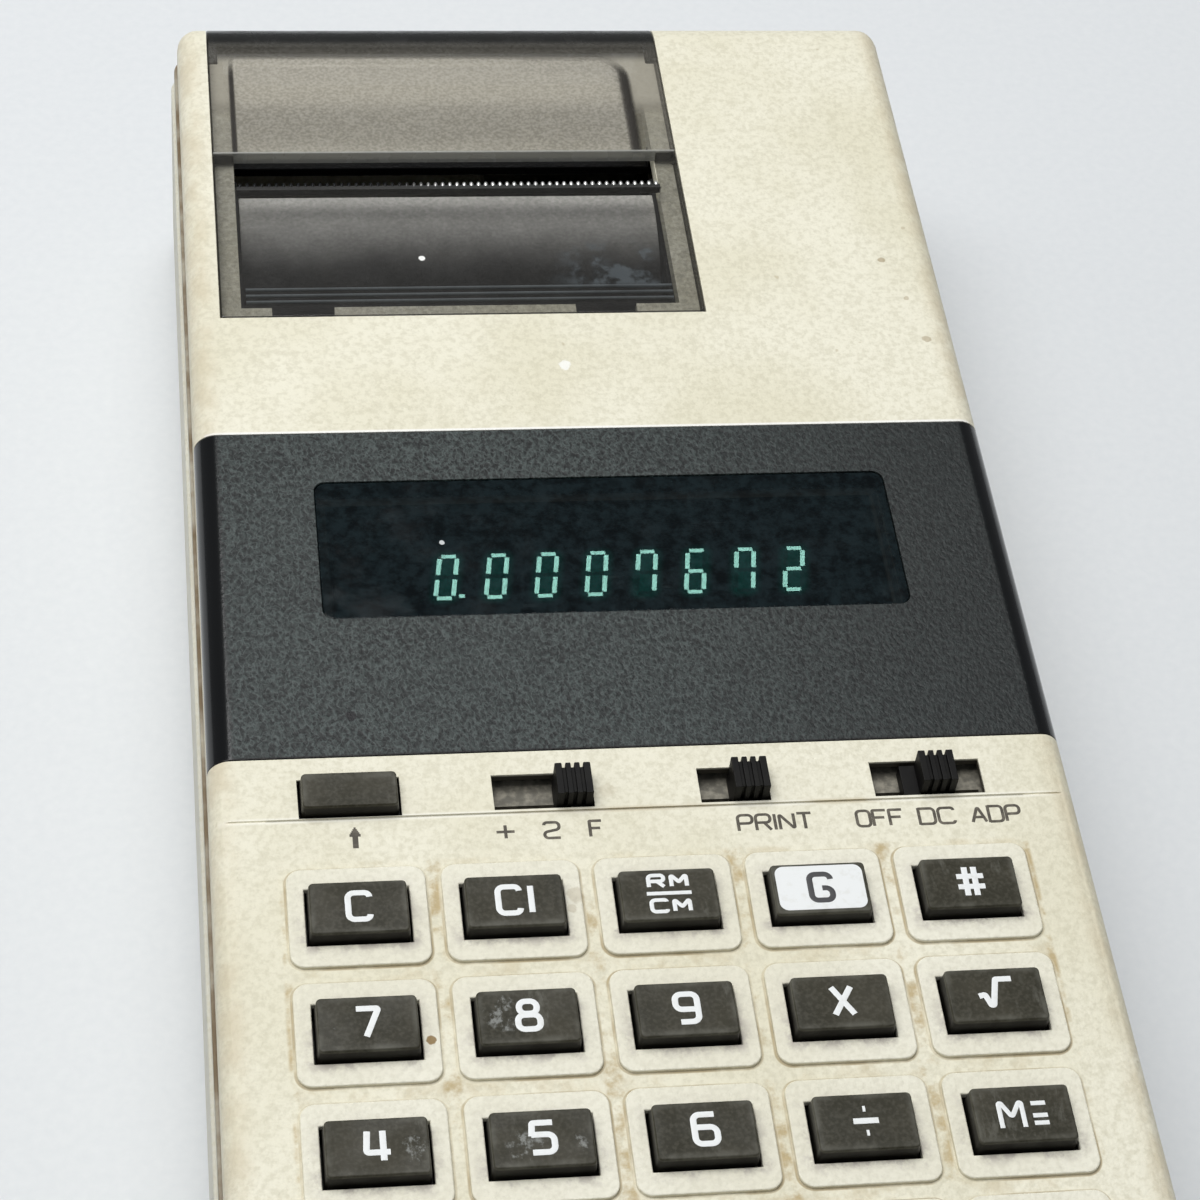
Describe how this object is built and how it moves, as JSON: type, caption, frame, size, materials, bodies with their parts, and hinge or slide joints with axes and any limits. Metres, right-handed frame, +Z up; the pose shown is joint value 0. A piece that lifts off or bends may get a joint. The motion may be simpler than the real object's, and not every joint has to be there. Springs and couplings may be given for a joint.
{
  "type": "printing calculator",
  "caption": "Palm-size desk calculator in a cream two-part case with a green display, dark keys, slide switches, and a paper printer under smoked windows.",
  "frame": {"origin": "on the resting plane, under the middle of the case", "axes": "+X to the user's right, +Y to the back where the printer is, +Z up"},
  "size_m": [0.0892, 0.2016, 0.0396],
  "materials": {
    "cream_plastic": "fine grained, aged cream moulding",
    "charcoal_plastic": "fine textured matt charcoal",
    "smoked_plastic": "smoked clear moulding",
    "display_filter": "dark green glossy filter",
    "tube_glass": "glass envelope with lit segments",
    "key_plastic": "worn dark brown key plastic",
    "white_key_plastic": "dark cap with a white face",
    "knob_plastic": "black ridged moulding",
    "rubber": "black rubber",
    "dome_rubber": "pale silicone sheet",
    "board": "green circuit board",
    "black_parts": "black epoxy",
    "grey_plastic": "grey engineering plastic",
    "gear_plastic": "natural acetal",
    "steel": "bright steel",
    "aluminium": "mill finish",
    "cell_jacket": "plain printed jacket"
  },
  "bodies": {
    "case": {"upper_case": "cream_plastic", "lower_case": "cream_plastic", "feet": "rubber", "case_screws": "steel", "display_bezel": "charcoal_plastic", "display_window": "display_filter", "display_tube": "tube_glass", "print_window": "smoked_plastic", "tear_bar": "steel", "paper_chute": "cream_plastic", "paper_guide": "grey_plastic", "printer_frame": "grey_plastic", "print_motor": "steel", "print_head": "aluminium", "head_spring": "steel", "switch_bodies": "grey_plastic", "key_dome_sheet": "dome_rubber", "key_board": "board", "logic_board": "board", "board_components": "black_parts", "batteries": "cell_jacket", "battery_contacts": "steel", "dc_jack": "black_parts"},
    "paper_cover": {"paper_cover": "smoked_plastic", "cover_hinge_pins": "steel"},
    "battery_door": {"battery_door": "cream_plastic"},
    "platen": {"platen_roller": "rubber", "platen_shaft": "steel", "platen_gear": "gear_plastic"},
    "idler": {"idler_gear": "gear_plastic"},
    "pinion": {"motor_pinion": "steel"},
    "feed_key": {"feed_key": "key_plastic"},
    "rounding_switch": {"rounding_switch_knob": "knob_plastic"},
    "print_switch": {"print_switch_knob": "knob_plastic"},
    "power_switch": {"power_switch_knob": "knob_plastic"},
    "key_clear": {"key_clear": "key_plastic"},
    "key_clear_entry": {"key_clear_entry": "key_plastic"},
    "key_recall_memory": {"key_recall_memory": "key_plastic"},
    "key_grand_total": {"key_grand_total": "white_key_plastic"},
    "key_item": {"key_item": "key_plastic"},
    "key_7": {"key_7": "key_plastic"},
    "key_8": {"key_8": "key_plastic"},
    "key_9": {"key_9": "key_plastic"},
    "key_multiply": {"key_multiply": "key_plastic"},
    "key_square_root": {"key_square_root": "key_plastic"},
    "key_4": {"key_4": "key_plastic"},
    "key_5": {"key_5": "key_plastic"},
    "key_6": {"key_6": "key_plastic"},
    "key_divide": {"key_divide": "key_plastic"},
    "key_memory_minus": {"key_memory_minus": "key_plastic"},
    "key_1": {"key_1": "key_plastic"},
    "key_2": {"key_2": "key_plastic"},
    "key_3": {"key_3": "key_plastic"},
    "key_minus": {"key_minus": "key_plastic"},
    "key_memory_plus": {"key_memory_plus": "key_plastic"},
    "key_0": {"key_0": "key_plastic"},
    "key_point": {"key_point": "key_plastic"},
    "key_percent": {"key_percent": "key_plastic"},
    "key_plus": {"key_plus": "key_plastic"},
    "key_equals": {"key_equals": "key_plastic"}
  },
  "joints": [
    {"name": "key_clear_press", "type": "slide", "parent": "case", "child": "key_clear", "axis": [0, 0, -1], "range_m": [0, 0.0012], "stiffness_N_per_m": 150, "springref_m": -0.0012, "deforming": ["key_dome_sheet"]},
    {"name": "key_clear_entry_press", "type": "slide", "parent": "case", "child": "key_clear_entry", "axis": [0, 0, -1], "range_m": [0, 0.0012], "stiffness_N_per_m": 150, "springref_m": -0.0012, "deforming": ["key_dome_sheet"]},
    {"name": "key_recall_memory_press", "type": "slide", "parent": "case", "child": "key_recall_memory", "axis": [0, 0, -1], "range_m": [0, 0.0012], "stiffness_N_per_m": 150, "springref_m": -0.0012, "deforming": ["key_dome_sheet"]},
    {"name": "key_grand_total_press", "type": "slide", "parent": "case", "child": "key_grand_total", "axis": [0, 0, -1], "range_m": [0, 0.0012], "stiffness_N_per_m": 150, "springref_m": -0.0012, "deforming": ["key_dome_sheet"]},
    {"name": "key_item_press", "type": "slide", "parent": "case", "child": "key_item", "axis": [0, 0, -1], "range_m": [0, 0.0012], "stiffness_N_per_m": 150, "springref_m": -0.0012, "deforming": ["key_dome_sheet"]},
    {"name": "key_7_press", "type": "slide", "parent": "case", "child": "key_7", "axis": [0, 0, -1], "range_m": [0, 0.0012], "stiffness_N_per_m": 150, "springref_m": -0.0012, "deforming": ["key_dome_sheet"]},
    {"name": "key_8_press", "type": "slide", "parent": "case", "child": "key_8", "axis": [0, 0, -1], "range_m": [0, 0.0012], "stiffness_N_per_m": 150, "springref_m": -0.0012, "deforming": ["key_dome_sheet"]},
    {"name": "key_9_press", "type": "slide", "parent": "case", "child": "key_9", "axis": [0, 0, -1], "range_m": [0, 0.0012], "stiffness_N_per_m": 150, "springref_m": -0.0012, "deforming": ["key_dome_sheet"]},
    {"name": "key_multiply_press", "type": "slide", "parent": "case", "child": "key_multiply", "axis": [0, 0, -1], "range_m": [0, 0.0012], "stiffness_N_per_m": 150, "springref_m": -0.0012, "deforming": ["key_dome_sheet"]},
    {"name": "key_square_root_press", "type": "slide", "parent": "case", "child": "key_square_root", "axis": [0, 0, -1], "range_m": [0, 0.0012], "stiffness_N_per_m": 150, "springref_m": -0.0012, "deforming": ["key_dome_sheet"]},
    {"name": "key_4_press", "type": "slide", "parent": "case", "child": "key_4", "axis": [0, 0, -1], "range_m": [0, 0.0012], "stiffness_N_per_m": 150, "springref_m": -0.0012, "deforming": ["key_dome_sheet"]},
    {"name": "key_5_press", "type": "slide", "parent": "case", "child": "key_5", "axis": [0, 0, -1], "range_m": [0, 0.0012], "stiffness_N_per_m": 150, "springref_m": -0.0012, "deforming": ["key_dome_sheet"]},
    {"name": "key_6_press", "type": "slide", "parent": "case", "child": "key_6", "axis": [0, 0, -1], "range_m": [0, 0.0012], "stiffness_N_per_m": 150, "springref_m": -0.0012, "deforming": ["key_dome_sheet"]},
    {"name": "key_divide_press", "type": "slide", "parent": "case", "child": "key_divide", "axis": [0, 0, -1], "range_m": [0, 0.0012], "stiffness_N_per_m": 150, "springref_m": -0.0012, "deforming": ["key_dome_sheet"]},
    {"name": "key_memory_minus_press", "type": "slide", "parent": "case", "child": "key_memory_minus", "axis": [0, 0, -1], "range_m": [0, 0.0012], "stiffness_N_per_m": 150, "springref_m": -0.0012, "deforming": ["key_dome_sheet"]},
    {"name": "key_1_press", "type": "slide", "parent": "case", "child": "key_1", "axis": [0, 0, -1], "range_m": [0, 0.0012], "stiffness_N_per_m": 150, "springref_m": -0.0012, "deforming": ["key_dome_sheet"]},
    {"name": "key_2_press", "type": "slide", "parent": "case", "child": "key_2", "axis": [0, 0, -1], "range_m": [0, 0.0012], "stiffness_N_per_m": 150, "springref_m": -0.0012, "deforming": ["key_dome_sheet"]},
    {"name": "key_3_press", "type": "slide", "parent": "case", "child": "key_3", "axis": [0, 0, -1], "range_m": [0, 0.0012], "stiffness_N_per_m": 150, "springref_m": -0.0012, "deforming": ["key_dome_sheet"]},
    {"name": "key_minus_press", "type": "slide", "parent": "case", "child": "key_minus", "axis": [0, 0, -1], "range_m": [0, 0.0012], "stiffness_N_per_m": 150, "springref_m": -0.0012, "deforming": ["key_dome_sheet"]},
    {"name": "key_memory_plus_press", "type": "slide", "parent": "case", "child": "key_memory_plus", "axis": [0, 0, -1], "range_m": [0, 0.0012], "stiffness_N_per_m": 150, "springref_m": -0.0012, "deforming": ["key_dome_sheet"]},
    {"name": "key_0_press", "type": "slide", "parent": "case", "child": "key_0", "axis": [0, 0, -1], "range_m": [0, 0.0012], "stiffness_N_per_m": 150, "springref_m": -0.0012, "deforming": ["key_dome_sheet"]},
    {"name": "key_point_press", "type": "slide", "parent": "case", "child": "key_point", "axis": [0, 0, -1], "range_m": [0, 0.0012], "stiffness_N_per_m": 150, "springref_m": -0.0012, "deforming": ["key_dome_sheet"]},
    {"name": "key_percent_press", "type": "slide", "parent": "case", "child": "key_percent", "axis": [0, 0, -1], "range_m": [0, 0.0012], "stiffness_N_per_m": 150, "springref_m": -0.0012, "deforming": ["key_dome_sheet"]},
    {"name": "key_plus_press", "type": "slide", "parent": "case", "child": "key_plus", "axis": [0, 0, -1], "range_m": [0, 0.0012], "stiffness_N_per_m": 150, "springref_m": -0.0012, "deforming": ["key_dome_sheet"]},
    {"name": "key_equals_press", "type": "slide", "parent": "case", "child": "key_equals", "axis": [0, 0, -1], "range_m": [0, 0.0012], "stiffness_N_per_m": 150, "springref_m": -0.0012, "deforming": ["key_dome_sheet"]},
    {"name": "feed_press", "type": "slide", "parent": "case", "child": "feed_key", "axis": [0, 0, -1], "range_m": [0, 0.0012], "stiffness_N_per_m": 150, "springref_m": -0.0012, "deforming": ["key_dome_sheet"]},
    {"name": "rounding_slide", "type": "slide", "parent": "case", "child": "rounding_switch", "axis": [1, 0, 0], "range_m": [-0.0059, 0]},
    {"name": "print_slide", "type": "slide", "parent": "case", "child": "print_switch", "axis": [1, 0, 0], "range_m": [-0.003, 0]},
    {"name": "power_slide", "type": "slide", "parent": "case", "child": "power_switch", "axis": [1, 0, 0], "range_m": [-0.0028, 0.0028]},
    {"name": "cover_hinge", "type": "hinge", "parent": "case", "child": "paper_cover", "pos_m": [-0.0126, 0.095, 0.0325], "axis": [-1, 0, 0], "range_deg": [0, 95]},
    {"name": "battery_door_slide", "type": "slide", "parent": "case", "child": "battery_door", "axis": [0, -1, 0], "range_m": [0, 0.06]},
    {"name": "platen_spin", "type": "hinge", "parent": "case", "child": "platen", "pos_m": [-0.0126, 0.0562, 0.0135], "axis": [1, 0, 0], "continuous": true},
    {"name": "idler_spin", "type": "hinge", "parent": "case", "child": "idler", "pos_m": [0.0157, 0.06857, 0.02216], "axis": [1, 0, 0], "continuous": true},
    {"name": "pinion_spin", "type": "hinge", "parent": "case", "child": "pinion", "pos_m": [0.0157, 0.07853, 0.01854], "axis": [1, 0, 0], "continuous": true}
  ],
  "couplings": [
    {"joint": "idler_spin", "follows": "platen_spin", "ratio": -1.1429},
    {"joint": "pinion_spin", "follows": "platen_spin", "ratio": 2.2857}
  ]
}
